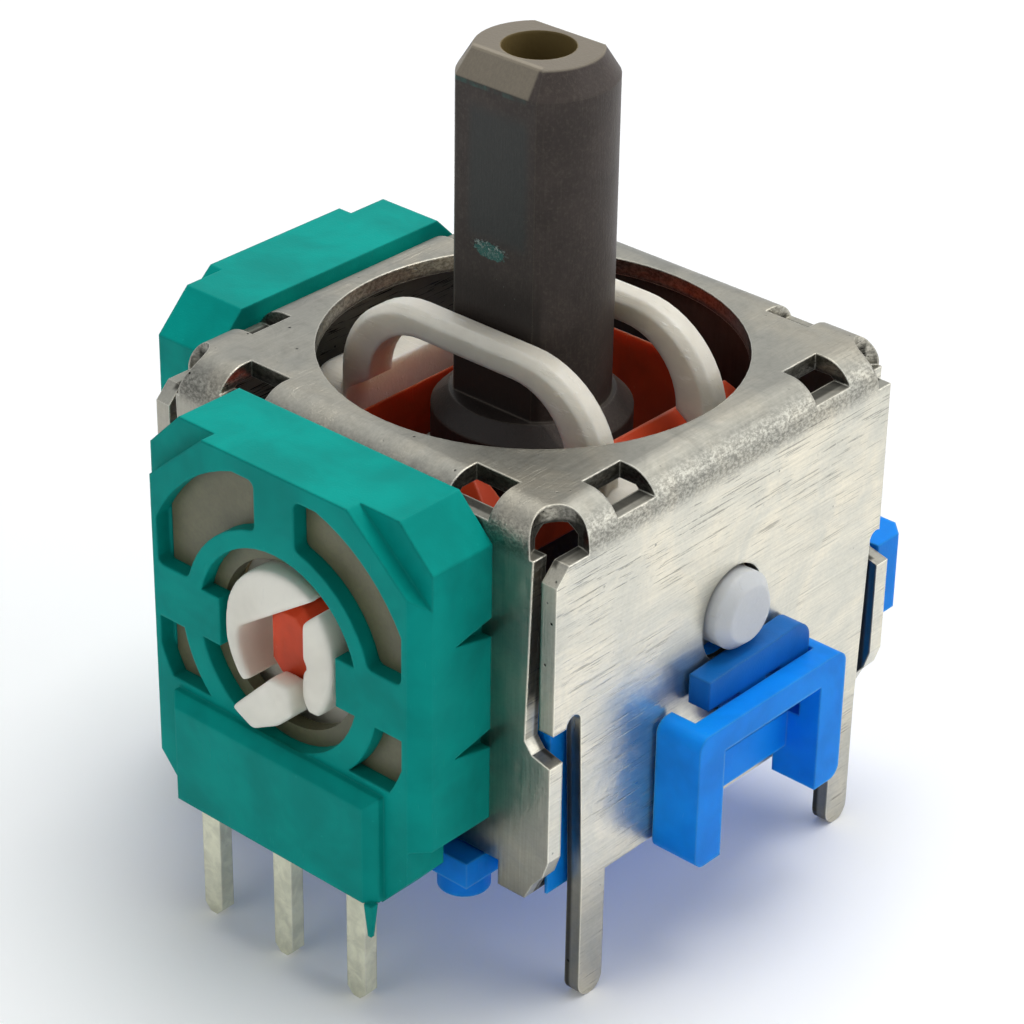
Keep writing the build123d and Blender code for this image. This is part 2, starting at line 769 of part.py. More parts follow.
# Slotted yoke: two flanks beside the collar, end walls, journals and the front blade
with BuildPart() as yoke:
    with BuildSketch(Plane.XZ.offset(-yoke_end_outer)):
        with Locations((0, axis_height)):
            Circle(yoke_radius)
        with Locations((0, axis_height + yoke_flank_bottom - yoke_radius)):
            Rectangle(2 * yoke_radius, 2 * yoke_radius, mode=Mode.SUBTRACT)
        Rectangle(2 * yoke_flank_inner, 4 * can_half, mode=Mode.SUBTRACT)
        for side in (-1, 1):
            with Locations((side * (yoke_half_width + yoke_radius), axis_height)):
                Rectangle(2 * yoke_radius, 2 * yoke_radius, mode=Mode.SUBTRACT)
    extrude(amount=2 * yoke_end_outer)
    for end_plane in (Plane.XZ.offset(yoke_end_inner), Plane.XZ.offset(-yoke_end_outer)):
        with BuildSketch(end_plane):
            with Locations((0, axis_height)):
                Circle(yoke_end_radius)
            for side in (-1, 1):
                with BuildLine():
                    Polyline(
                        (side * yoke_half_width, axis_height + yoke_radius),
                        (side * yoke_half_width, axis_height + yoke_flank_bottom),
                        (side * yoke_hub_radius, axis_height - yoke_hub_radius),
                        (side * yoke_hub_radius, axis_height - yoke_radius),
                        (side * 2 * yoke_radius, axis_height - yoke_radius),
                        (side * 2 * yoke_radius, axis_height + yoke_radius),
                        close=True,
                    )
                make_face(mode=Mode.SUBTRACT)
            with Locations((0, axis_height - yoke_hub_radius - yoke_radius)):
                Rectangle(2 * yoke_radius, 2 * yoke_radius, mode=Mode.SUBTRACT)
        extrude(amount=yoke_end_outer - yoke_end_inner)
    # The tops arch down towards the ends, to pass under the cap
    with BuildSketch(Plane.YZ.offset(-can_half)):
        with Locations((0, axis_height)):
            Circle(yoke_dome_radius)
    extrude(amount=2 * can_half, mode=Mode.INTERSECT)
    with BuildSketch(Plane.XZ.offset(yoke_end_outer)):
        with Locations((0, axis_height)):
            Circle(journal_radius)
    extrude(amount=journal_end - yoke_end_outer)
    with BuildSketch(Plane.XZ.offset(-yoke_end_outer)):
        with Locations((0, axis_height)):
            Circle(journal_radius)
    extrude(amount=yoke_end_outer - journal_end)
    with BuildSketch(Plane.XZ.offset(journal_end)):
        with Locations((0, axis_height)):
            add(blade_outline.sketch)
    extrude(amount=blade_end - journal_end)
    chamfer(yoke.faces().sort_by(Axis.Y)[0].edges(), blade_chamfer)
yoke.part.label = "yoke"
export_step(yoke.part, "parts/yoke.step")


# Spring shoe: a hub in the stem's bore and a disc whose underside is coned to clear the floor
with BuildPart() as spring_shoe:
    with BuildSketch(Plane.XZ):
        with BuildLine():
            shoe_rim_z = -sqrt(shoe_sweep**2 - shoe_radius**2)
            Polyline(
                (0, axis_height - shoe_sweep),
                (shoe_radius, axis_height + shoe_rim_z),
                (shoe_radius, axis_height + shoe_top),
                (shoe_hub_radius, axis_height + shoe_top),
                (shoe_hub_radius, axis_height + shoe_hub_top),
                (0, axis_height + shoe_hub_top),
                close=True,
            )
        make_face()
    revolve(axis=Axis.Z)
spring_shoe.part.label = "spring_shoe"
export_step(spring_shoe.part, "parts/spring_shoe.step")


# Return spring between the shoe and the top of the stem's bore
with BuildPart() as return_spring:
    spring_low = axis_height + shoe_hub_top + spring_wire
    spring_high = axis_height + spring_bore_top - spring_wire
    spring_rise = spring_high - spring_low
    with BuildLine() as spring_path:
        Helix(spring_rise / spring_turns, spring_rise, spring_radius, center=(0, 0, spring_low))
    with BuildSketch(Plane(spring_path.line @ 0, z_dir=spring_path.line % 0)):
        RegularPolygon(spring_wire, spring_sides)
    sweep(is_frenet=True)
return_spring.part.label = "return_spring"
export_step(return_spring.part, "parts/return_spring.step")


# Pot housing: body open at the back, face plate with its windows, pin block and snap notches
with BuildPart() as housing:
    with BuildSketch(Plane.XZ.offset(can_half)) as pot_body:
        with BuildLine():
            Polyline(
                (-pot_half, pot_bottom),
                (-pot_half, pot_top - pot_chamfer),
                (-pot_half + pot_chamfer, pot_top),
                (pot_half - pot_chamfer, pot_top),
                (pot_half, pot_top - pot_chamfer),
                (pot_half, pot_bottom),
                close=True,
            )
        make_face()
    extrude(amount=pot_face - can_half)
    with BuildSketch(Plane.XZ.offset(pot_face)):
        with BuildLine():
            Polyline(
                (-pot_half, pot_bottom),
                (-pot_half, pot_top - plate_drop),
                (-plate_top_half, pot_top),
                (plate_top_half, pot_top),
                (pot_half, pot_top - plate_drop),
                (pot_half, pot_bottom),
                close=True,
            )
        make_face()
    extrude(amount=plate_thickness)
    # Bevels down the two sides of the face
    with BuildSketch(Plane.XY.offset(pot_bottom)):
        for side in (-1, 1):
            with BuildLine():
                Polyline(
                    (side * pot_half, -pot_face),
                    (side * plate_half, -plate_face),
                    (side * pot_half, -plate_face),
                    close=True,
                )
            make_face()
    extrude(amount=pot_top - pot_bottom, mode=Mode.SUBTRACT)
    # Tongue under the face, with its lower corners cut off
    with BuildSketch(Plane.XZ.offset(plate_face - tongue_thickness)):
        with BuildLine():
            Polyline(
                (-plate_half, block_top),
                (-plate_half, tongue_bottom + tongue_corner_z),
                (-plate_half + tongue_corner_x, tongue_bottom),
                (plate_half - tongue_corner_x, tongue_bottom),
                (plate_half, tongue_bottom + tongue_corner_z),
                (plate_half, block_top),
                close=True,
            )
        make_face()
    extrude(amount=tongue_thickness)
    with BuildSketch(Plane.XZ.offset(plate_face)):
        with Locations((0, (block_bottom + block_top) / 2)):
            Rectangle(2 * block_half, block_top - block_bottom)
    extrude(amount=block_face - plate_face)
    block_rim = housing.faces().sort_by(Axis.Y)[0].edges()
    chamfer(block_rim.filter_by(Axis.Z) + block_rim.sort_by(Axis.Z)[-1:], block_corner)
    # Room for the board and the rotor behind the face
    with BuildSketch(Plane.XZ.offset(can_half)):
        with BuildLine():
            Polyline(
                (-pot_half + pot_wall, board_bottom),
                (-pot_half + pot_wall, board_top - board_corner),
                (-pot_half + pot_wall + board_corner, board_top),
                (pot_half - pot_wall - board_corner, board_top),
                (pot_half - pot_wall, board_top - board_corner),
                (pot_half - pot_wall, board_bottom),
                close=True,
            )
        make_face()
    extrude(amount=board_face - can_half, mode=Mode.SUBTRACT)
    # Openings in the face: two upper and two lower windows, and the hub opening with its two teeth
    with BuildSketch(Plane.XZ.offset(board_face)) as upper_windows:
        with Locations((0, axis_height)):
            Circle(window_ring_outer)
            Circle(window_ring_inner, mode=Mode.SUBTRACT)
        with Locations((0, window_upper_foot - pot_half)):
            Rectangle(4 * pot_half, 2 * pot_half, mode=Mode.SUBTRACT)
        with Locations((0, window_top + pot_half)):
            Rectangle(4 * pot_half, 2 * pot_half, mode=Mode.SUBTRACT)
        with Locations((0, axis_height)):
            Rectangle(2 * window_web, 4 * pot_half, mode=Mode.SUBTRACT)
        with Locations((0, axis_height)):
            with GridLocations(2 * (window_side + pot_half), 1, 2, 1):
                Rectangle(2 * pot_half, 4 * pot_half, mode=Mode.SUBTRACT)
        fillet(upper_windows.vertices(), window_round)
    extrude(amount=plate_face - board_face, mode=Mode.SUBTRACT)
    with BuildSketch(Plane.XZ.offset(board_face)):
        with Locations((0, (window_lower_top + window_lower_foot) / 2)):
            Rectangle(2 * window_side, window_lower_top - window_lower_foot)
        with Locations((0, axis_height)):
            Circle(window_lower_outer, mode=Mode.INTERSECT)
        with Locations((0, axis_height)):
            Circle(window_lower_inner, mode=Mode.SUBTRACT)
    extrude(amount=plate_face - board_face, mode=Mode.SUBTRACT)
    with BuildSketch(Plane.XZ.offset(board_face)):
        with Locations((0, axis_height)):
            Circle(hub_opening)
        with Locations((0, axis_height)):
            with GridLocations(2 * (tooth_reach + hub_opening), 1, 2, 1):
                Rectangle(2 * hub_opening, 2 * tooth_half, mode=Mode.SUBTRACT)
    extrude(amount=plate_face - board_face, mode=Mode.SUBTRACT)
    # Snap notches in the two side walls
    for snap_plane in (Plane.YZ.offset(-pot_half), Plane.YZ.offset(pot_half - snap_depth)):
        for snap_height in snap_heights:
            with BuildSketch(snap_plane):
                with BuildLine():
                    Polyline(
                        (-snap_start, snap_height),
                        (-can_half, snap_height + snap_half),
                        (-can_half, snap_height - snap_half),
                        close=True,
                    )
                make_face()
            extrude(amount=snap_depth, mode=Mode.SUBTRACT)
    # Slots for the pins
    pin_xs = [(number - (pin_count - 1) / 2) * pin_pitch for number in range(pin_count)]
    with BuildSketch(Plane.XY.offset(tongue_bottom)):
        with Locations(*[(pin_x, -pin_y) for pin_x in pin_xs]):
            Rectangle(pin_width + 2 * pin_gap, pin_thickness + 2 * pin_gap)
    extrude(amount=pin_head_top + pin_gap - tongue_bottom, mode=Mode.SUBTRACT)

for side_name, side_angle in pot_sides:
    if side_name == "front":
        # A sliver of moulding flash hangs beside the third pin of the front pot
        with BuildPart() as flash:
            with BuildSketch(Plane.XY.offset(block_bottom)):
                with Locations((block_half - flash_width, -block_face + flash_width)):
                    Rectangle(2 * flash_width, 2 * flash_width)
            extrude(amount=-flash_length, taper=flash_taper)
        pot_shell = housing.part + flash.part
    else:
        pot_shell = turned(housing.part, side_angle)
    pot_shell.label = side_name + "_housing"
    export_step(pot_shell, "parts/" + side_name + "_housing.step")


# Resistor board behind the face
with BuildPart() as board:
    board_side = pot_half - pot_wall - board_gap
    with BuildSketch(Plane.XZ.offset(board_face - board_thickness)):
        with BuildLine():
            Polyline(
                (-board_side, board_bottom),
                (-board_side, board_top - board_corner - board_gap),
                (-board_side + board_corner, board_top - board_gap),
                (board_side - board_corner, board_top - board_gap),
                (board_side, board_top - board_corner - board_gap),
                (board_side, board_bottom),
                close=True,
            )
        make_face()
        with Locations((0, axis_height)):
            Circle(finger_root_radius + running_gap, mode=Mode.SUBTRACT)
    extrude(amount=board_thickness)


# Outlines of the rotor's fingers: a hook that reaches from the lower left over the top, a jaw
# at the right with a nick in its inner side, and a bar at the foot
with BuildSketch() as hook_and_jaw:
    with BuildLine():
        ThreePointArc(hook_tip, hook_crown, hook_shoulder)
        ThreePointArc(hook_shoulder, hook_side, hook_toe)
        Line(hook_toe, hook_toe_inner)
        ThreePointArc(hook_toe_inner, hook_inside, hook_root)
        Line(hook_root, hook_tip)
    make_face()
    with BuildLine():
        ThreePointArc(jaw_tip, jaw_outside, jaw_foot)
        Polyline(jaw_foot, jaw_heel, jaw_inside_low, jaw_inside_high, jaw_tip)
    make_face()
    with Locations(jaw_nick):
        Circle(jaw_nick_radius, mode=Mode.SUBTRACT)
with BuildSketch() as bar:
    with BuildLine():
        Polyline(*bar_outline, close=True)
    make_face()

# Rotor: a flange behind the board and the three fingers that stand up through the board's hole
with BuildPart() as rotor:
    with BuildSketch(Plane.XZ.offset(rotor_back)):
        with Locations((0, axis_height)):
            Circle(rotor_flange_radius)
    extrude(amount=rotor_flange_face - rotor_back)
    with BuildSketch(Plane.XZ.offset(rotor_flange_face)):
        with Locations((0, axis_height)):
            add(hook_and_jaw.sketch)
            add(bar.sketch)
            Circle(finger_root_radius, mode=Mode.INTERSECT)
    extrude(amount=blade_end + blade_gap - rotor_flange_face)
    # Slot for the blade, which ends behind the fingers' tips
    with BuildSketch(Plane.XZ.offset(rotor_back)):
        with Locations((0, axis_height)):
            add(blade_slot.sketch)
    extrude(amount=blade_end + blade_gap - rotor_back, mode=Mode.SUBTRACT)
    for tip_outline, tip_face in ((hook_and_jaw, finger_tip), (bar, bar_tip)):
        with BuildSketch(Plane.XZ.offset(blade_end + blade_gap)):
            with Locations((0, axis_height)):
                add(tip_outline.sketch)
        extrude(amount=tip_face - blade_end - blade_gap)


# Wiper: a thin half ring on the flange with two contact tongues that point at the board
with BuildPart() as wiper:
    with BuildSketch(Plane.XZ.offset(rotor_flange_face)):
        with Locations((0, axis_height)):
            Circle(wiper_outer)
            Circle(wiper_inner, mode=Mode.SUBTRACT)
        with Locations((0, axis_height - wiper_outer)):
            Rectangle(2 * wiper_outer, 2 * wiper_outer, mode=Mode.SUBTRACT)
    extrude(amount=wiper_thickness)
    with BuildSketch(Plane.XZ.offset(rotor_flange_face + wiper_thickness)):
        with Locations((0, axis_height)):
            for tongue_angle in wiper_tongue_angles:
                with PolarLocations((wiper_inner + wiper_outer) / 2, 1, start_angle=tongue_angle):
                    Rectangle(wiper_outer - wiper_inner - running_gap, 2 * wiper_thickness)
    extrude(amount=wiper_tongue)

for side_name, side_angle in pot_sides:
    for piece_name, piece in (("board", board), ("rotor", rotor), ("wiper", wiper)):
        placed = turned(piece.part, side_angle)
        placed.label = side_name + "_" + piece_name
        export_step(placed, "parts/" + side_name + "_" + piece_name + ".step")


# Pins: a straight leg with a bevelled tip, whose head lies on the board's foot
for number, pin_x in enumerate(pin_xs, start=1):
    with BuildPart() as pin:
        with BuildSketch(Plane.XZ.offset(pin_y - pin_thickness / 2)):
            with Locations((pin_x, (pin_head_top - pin_length) / 2)):
                Rectangle(pin_width, pin_head_top + pin_length)
        extrude(amount=pin_thickness)
        tip_edges = pin.edges().filter_by(Axis.Y).group_by(Axis.Z)[0]
        chamfer(tip_edges, pin_tip_bevel)
    for side_name, side_angle in pot_sides:
        placed = turned(pin.part, side_angle)
        placed.label = side_name + "_pin_" + str(number)
        export_step(placed, "parts/" + side_name + "_pin_" + str(number) + ".step")
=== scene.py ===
"""Looks for a two-axis thumb-stick module: finishes, rounded rotors, a copied spring, a stage."""

import json
from math import radians

import bpy
from mathutils import Matrix, Vector


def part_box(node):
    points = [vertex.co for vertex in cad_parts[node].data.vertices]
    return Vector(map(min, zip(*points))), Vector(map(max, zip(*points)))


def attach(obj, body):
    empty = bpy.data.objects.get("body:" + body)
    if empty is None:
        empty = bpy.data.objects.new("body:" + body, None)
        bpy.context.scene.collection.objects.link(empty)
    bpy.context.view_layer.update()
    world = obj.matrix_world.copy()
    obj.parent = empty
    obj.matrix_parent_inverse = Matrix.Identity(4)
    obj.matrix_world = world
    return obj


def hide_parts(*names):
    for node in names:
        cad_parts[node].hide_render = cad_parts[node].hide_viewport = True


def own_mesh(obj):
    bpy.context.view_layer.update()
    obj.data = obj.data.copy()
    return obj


bl_info = {
    "name": "Thumb-stick module",
    "version": (1, 0, 0),
    "blender": (4, 5, 0),
    "location": "View3D > Sidebar > Thumb stick",
    "description": "Finishes a two-axis thumb-stick module and sets its stage",
    "category": "Object",
}

# Blender works in metres, and these sizes are in millimetres: a depth inside the can's wall, the
# gap within which the points of a copy merge, and the grid on which a rotor's copy is built again
MM = 0.001
WALL_DEPTH = 0.25
MERGE_GAP = 0.001
ROTOR_GRID = 0.055

# Rounds of smoothing that a rotor's copy gets
ROTOR_SMOOTHING = 26

# The Mix node's sockets when it mixes colours
MIX_SHARE, MIX_LOW, MIX_HIGH = 0, 6, 7
MIX_RESULT = 2

# Light of the sky on the module, what cameras and shiny surfaces see besides, and the floor's glow
SKY_LIGHT = 0.2
SKY_SHOWN = 0.8
FLOOR_GLOW = 0.09

# Second colours of the finishes: paler edges and tops that are painted highlights, a darker lever
# edge that is painted shade, the nub's painted blue light, worn patches and marks
BASE_EDGE = (0.10, 0.38, 0.88)
LEVER_EDGE = (0.05, 0.26, 0.62)
POT_EDGE = (0.02, 0.46, 0.40)
YOKE_EDGE = (0.80, 0.22, 0.12)
ROTOR_EDGE = (0.97, 0.95, 0.88)
STICK_PALE = (0.27, 0.235, 0.18)
STICK_WORN = (0.040, 0.044, 0.042)
STICK_BORE = (0.20, 0.145, 0.055)
STICK_RUBBED = (0.03, 0.17, 0.145)
STICK_TORN = (0.40, 0.50, 0.46)
NYLON_PALE = (0.86, 0.84, 0.80)
NUB_PAINTED_BLUE_LIGHT = (0.58, 0.62, 0.68)
BOARD_TRACK = (0.10, 0.085, 0.07)
TIN_EDGE = (0.85, 0.84, 0.78)
WIPER_BRONZE = (0.60, 0.46, 0.24)
WIRE_GREY = (0.55, 0.55, 0.55)
STEEL_COOL = (0.97, 0.98, 0.97)
STEEL_WARM = (1.0, 0.965, 0.90)
FLOOR_WHITE = (0.90, 0.915, 0.94)
SKY_WHITE = (0.95, 0.975, 1)

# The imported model, with the floor's height in metres and the heights that the finishes follow
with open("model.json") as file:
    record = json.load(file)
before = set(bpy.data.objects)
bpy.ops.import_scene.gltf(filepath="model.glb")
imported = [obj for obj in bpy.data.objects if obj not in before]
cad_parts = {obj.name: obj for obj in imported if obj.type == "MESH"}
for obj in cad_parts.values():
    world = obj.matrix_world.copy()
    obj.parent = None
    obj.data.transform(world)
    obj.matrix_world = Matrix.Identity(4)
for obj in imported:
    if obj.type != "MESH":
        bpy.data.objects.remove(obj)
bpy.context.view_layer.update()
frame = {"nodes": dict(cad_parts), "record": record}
nodes = frame["nodes"]
behaviour = frame["record"]["behaviour"]
body_of = {name: body for body, carried in behaviour["bodies"].items() for name in carried}
board_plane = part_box("front_pin_1")[0].z
can_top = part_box("cover")[1].z / MM
stick_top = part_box("stick")[1].z / MM
wall_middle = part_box("cover")[1].x / MM - WALL_DEPTH


class Shade:
    """A node socket that Python's operators work on, by adding Math nodes."""

    def __init__(self, finish, socket):
        self.finish = finish
        self.socket = socket

    def maths(self, operation, *others):
        return self.finish.node("ShaderNodeMath", {"operation": operation}, [self, *others])

    def __add__(self, other):
        return self.maths("ADD", other)

    def __sub__(self, other):
        return self.maths("SUBTRACT", other)

    def __rsub__(self, other):
        return self.finish.node("ShaderNodeMath", {"operation": "SUBTRACT"}, [other, self])

    def __mul__(self, other):
        return self.maths("MULTIPLY", other)

    def __truediv__(self, other):
        return self.maths("DIVIDE", other)

    def __pow__(self, other):
        return self.maths("POWER", other)

    def __abs__(self):
        return self.maths("ABSOLUTE")

    __radd__ = __add__
    __rmul__ = __mul__

    def most(self, other):
        return self.maths("MAXIMUM", other)

    def least(self, other):
        return self.maths("MINIMUM", other)

    def ramp(self, start, end, low=0.0, high=1.0):
        """Goes smoothly from low to high while the value goes from start to end."""
        return self.finish.node(
            "ShaderNodeMapRange",
            {"interpolation_type": "SMOOTHSTEP"},
            {"Value": self, "From Min": start, "From Max": end, "To Min": low, "To Max": high},
        )

    def fade(self, start, end):
        """Goes smoothly from one to zero while the value goes from start to end."""
        return self.ramp(start, end, 1.0, 0.0)

    def band(self, middle, half, soft):
        """One within half of the middle, and zero further away than that and the soft edge."""
        return abs(self - middle).fade(half, half + soft)


class Finish:
    """A material with one Principled shader, whose nodes are made by calls."""

    def __init__(self, name, **fixed):
        self.material = bpy.data.materials.new(name)
        self.material.use_nodes = True
        self.tree = self.material.node_tree
        self.shader = self.tree.nodes["Principled BSDF"]
        for socket_name, value in fixed.items():
            self.shader.inputs[socket_name.replace("_", " ")].default_value = value
        self.here = self.node("ShaderNodeTexCoord", {}, [], "Object")
        self.edge_normal = None

    def node(self, kind, settings, sockets, output=0):
        """Adds a node, with its settings first, and gives one of its outputs."""
        made = self.tree.nodes.new(kind)
        for setting, value in settings.items():
            setattr(made, setting, value)
        for key, value in sockets.items() if isinstance(sockets, dict) else enumerate(sockets):
            if isinstance(value, Shade):
                self.tree.links.new(value.socket, made.inputs[key])
            else:
                made.inputs[key].default_value = value
        return Shade(self, made.outputs[output])

    def along(self, axis):
        """How far a point is along one axis of the module, in millimetres."""
        metres = self.node("ShaderNodeSeparateXYZ", {}, [self.here], axis)
        return metres * (1 / MM)

    def facing(self, axis):
        """How squarely a surface faces either way along one axis of the module."""
        normal = self.node("ShaderNodeTexCoord", {}, [], "Normal")
        return abs(self.node("ShaderNodeSeparateXYZ", {}, [normal], axis))

    def placed(self, stretch=(1, 1, 1), turn=(0, 0, 0), shift=(0, 0, 0)):
        """Object coordinates in millimetres, stretched and turned for a pattern."""
        scale = [1 / MM / s for s in stretch]
        return self.node(
            "ShaderNodeMapping",
            {},
            {"Vector": self.here, "Location": shift, "Rotation": turn, "Scale": scale},
        )

    def noise(self, size, detail=2.0, roughness=0.5, distortion=0.0, at=None):
        """Cloudy noise whose patches are about size millimetres across."""
        return self.node(
            "ShaderNodeTexNoise",
            {},
            {
                "Vector": at or self.placed(),
                "Scale": 1 / size,
                "Detail": detail,
                "Roughness": roughness,
                "Distortion": distortion,
            },
        )

    def cells(self, size):
        """Distance to the nearest of scattered points that lie about size millimetres apart."""
        return self.node(
            "ShaderNodeTexVoronoi", {}, {"Vector": self.placed(), "Scale": 1 / size}
        )

    def mix(self, share, low, high, blend="MIX"):
        """A colour between low and high."""
        made = self.tree.nodes.new("ShaderNodeMix")
        made.data_type = "RGBA"
        made.blend_type = blend
        for index, value in ((MIX_SHARE, share), (MIX_LOW, low), (MIX_HIGH, high)):
            if isinstance(value, Shade):
                self.tree.links.new(value.socket, made.inputs[index])
            elif index == MIX_SHARE:
                made.inputs[index].default_value = value
            else:
                made.inputs[index].default_value = (*value, 1)
        return Shade(self, made.outputs[MIX_RESULT])

    def soften_edges(self, radius):
        """Rounds the shading at edges, and gives how much each point is an edge."""
        rounded = self.node("ShaderNodeBevel", {"samples": 6}, [radius * MM])
        plain = self.node("ShaderNodeNewGeometry", {}, [], "Normal")
        self.edge_normal = rounded
        agreement = self.node(
            "ShaderNodeVectorMath", {"operation": "DOT_PRODUCT"}, [rounded, plain], "Value"
        )
        return (1 - agreement).ramp(0.01, 0.2)

    def feed(self, socket_name, value):
        self.tree.links.new(value.socket, self.shader.inputs[socket_name])

    def bump(self, height, depth):
        """Raises the surface by height times depth millimetres."""
        sockets = {"Height": height, "Distance": depth * MM, "Strength": 1.0}
        if self.edge_normal:
            sockets["Normal"] = self.edge_normal
        self.feed("Normal", self.node("ShaderNodeBump", {}, sockets))


class Sky(Finish):
    """The world's nodes, made by the same calls."""

    def __init__(self, tree):
        self.tree = tree


def shaded(colour, factor):
    """A colour made darker or lighter, and no lighter than white."""
    return [min(1.0, c * factor) for c in colour]


def coat(finish, *names):
    """Puts a finish on CAD nodes."""
    for name in names:
        mesh = nodes[name].data
        mesh.materials.clear()
        mesh.materials.append(finish.material)


def copy_node(name, ending, finish):
    """A merged copy of a CAD node that stands for it and rides on its body."""
    bpy.ops.object.select_all(action="DESELECT")
    nodes[name].select_set(True)
    bpy.context.view_layer.objects.active = nodes[name]
    bpy.ops.object.duplicate()
    piece = bpy.context.object
    piece.name = name + ending
    bpy.ops.object.mode_set(mode="EDIT")
    bpy.ops.mesh.select_all(action="SELECT")
    bpy.ops.mesh.remove_doubles(threshold=MERGE_GAP * MM)
    bpy.ops.object.mode_set(mode="OBJECT")
    piece.data.materials.clear()
    piece.data.materials.append(finish.material)
    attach(piece, body_of[name])
    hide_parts(name)
    return piece


def round_off(name, finish):
    """Copies a rotor and rounds its edges and corners, as they leave the mould."""
    piece = copy_node(name, "_moulded", finish)
    remesh = piece.modifiers.new("fine_grid", "REMESH")
    remesh.mode = "VOXEL"
    remesh.voxel_size = ROTOR_GRID * MM
    smooth = piece.modifiers.new("rounding", "SMOOTH")
    smooth.iterations = ROTOR_SMOOTHING
    smooth.factor = 0.5
    for modifier in ("fine_grid", "rounding"):
        bpy.ops.object.modifier_apply(modifier=modifier)
    bpy.ops.object.shade_smooth()


def coil_spring(finish):
    """A merged copy of the return spring, with a mesh of its own, riding on its body."""
    spring = copy_node("return_spring", "_coil", finish)
    low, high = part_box("return_spring")
    travel = next(j["range_m"][1] for j in behaviour["joints"] if j["name"] == "shoe_ride")
    1 - travel / (high.z - low.z)
    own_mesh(spring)


def slanted_scratches(finish, places):
    """Long scratches at three slants, only where places is above zero."""
    scratch = 0.0
    for length, slope, start in ((34, -7, 0.635), (22, -15, 0.66), (50, -3, 0.64)):
        slanted = finish.placed(
            stretch=(1, length, 1), turn=(radians(slope), 0, 0), shift=(0, 0, slope)
        )
        line = finish.noise(0.05, detail=2, distortion=0.1, at=slanted)
        scratch = scratch + line.ramp(start, start + 0.05) * (0.4 + 0.015 * length)
    return (scratch * places).least(1.0)


def steel_finish(name, colour, edge_highlight):
    """Dull plated sheet: rolling marks down the folded walls, frosted bends, scratches, stains,
    with painted shade on its tops, its front and back walls, its inside and its lower part, and a
    painted highlight along its edges.
    """
    finish = Finish(name, Metallic=1.0)
    edge = finish.soften_edges(radius=0.07)
    height = finish.along("Z")
    folded = finish.facing("Y").ramp(0.4, 0.8)
    level = finish.facing("Z").ramp(0.5, 0.95)

    # The plate's own pattern
    along_roll = finish.placed(stretch=(1, 60, 1))
    down_wall = finish.placed(stretch=(1, 1, 40))
    rolled = finish.noise(0.045, detail=3, roughness=0.65, at=along_roll)
    drawn = finish.noise(0.06, detail=3, roughness=0.65, at=down_wall)
    brush = rolled * (1 - folded) + drawn * folded
    smudge = finish.noise(2.2, detail=4, roughness=0.62, distortion=0.6)
    grime = finish.noise(0.8, detail=5, roughness=0.7, distortion=1.2)
    flattened = finish.placed(stretch=(1.5, 1.5, 1))
    grains = finish.noise(0.075, detail=3, roughness=0.7, at=flattened)
    pits = finish.cells(0.5).fade(0.04, 0.09) * grime.ramp(0.45, 0.6)
    worn = grime.ramp(0.40, 0.72)

    # Where the plate bends, turns inwards, was dragged in handling and takes painted shade near its
    # bottom
    bends = height.ramp(can_top - 1.25, can_top - 0.75) * (1 - level)
    across = abs(finish.along("X")).most(abs(finish.along("Y")))
    inner = across.fade(wall_middle - 0.1, wall_middle) * height.fade(can_top - 0.45, can_top - 0.3)
    dragged = height.ramp(can_top - 3.4, can_top - 1.7) * height.fade(can_top - 1.3, can_top - 0.9)
    handled = (smudge.ramp(0.42, 0.62) + 1.3 * dragged * grime.ramp(0.38, 0.55)) * (1 - folded)
    scratch = slanted_scratches(finish, handled)
    bottom_shade = height.fade(-0.8, 1.4)

    # How dark each place is, with painted shade and a painted highlight among it
    tone = 0.86 + 0.40 * (brush - 0.5) + 0.22 * (grains - 0.5)
    tone = tone * smudge.ramp(0.25, 0.75, 0.82, 1.08)
    tone = tone - 0.14 * worn * level
    tone = tone + bends * (grains.ramp(0.36, 0.68) - 0.8) * 0.42
    # Painted shade: walls facing front and back darker, and the inside of the can darker still
    tone = tone * (1 - 0.5 * folded) * (1 - 0.75 * inner)
    # Painted shade: the top faces darker, and the plate darker towards its bottom; the bends darker
    # too
    tone = tone * (1 - 0.63 * level) * (1 - 0.35 * bends) * (1 - 0.3 * bottom_shade)
    # Painted highlight along the edges, also standing for their wear; scratches and pits darker
    tone = tone - 0.34 * scratch * (1 - level) - 0.4 * pits + edge_highlight * edge

    warmth = finish.mix(smudge.ramp(0.35, 0.7), STEEL_COOL, STEEL_WARM)
    base = finish.mix(1.0, colour, warmth, "MULTIPLY")
    shade = finish.node("ShaderNodeCombineColor", {}, [tone, tone, tone])
    finish.feed("Base Color", finish.mix(1.0, base, shade, "MULTIPLY"))
    finish.feed("Roughness", 0.24 + 0.10 * brush + 0.08 * worn + 0.3 * inner + 0.12 * level)
    relief = brush * (0.4 - 0.25 * level) + grains * (0.3 + 0.6 * bends) + smudge * 2.5
    finish.bump(relief - scratch * 0.6 - pits * 1.5, depth=0.010)
    return finish


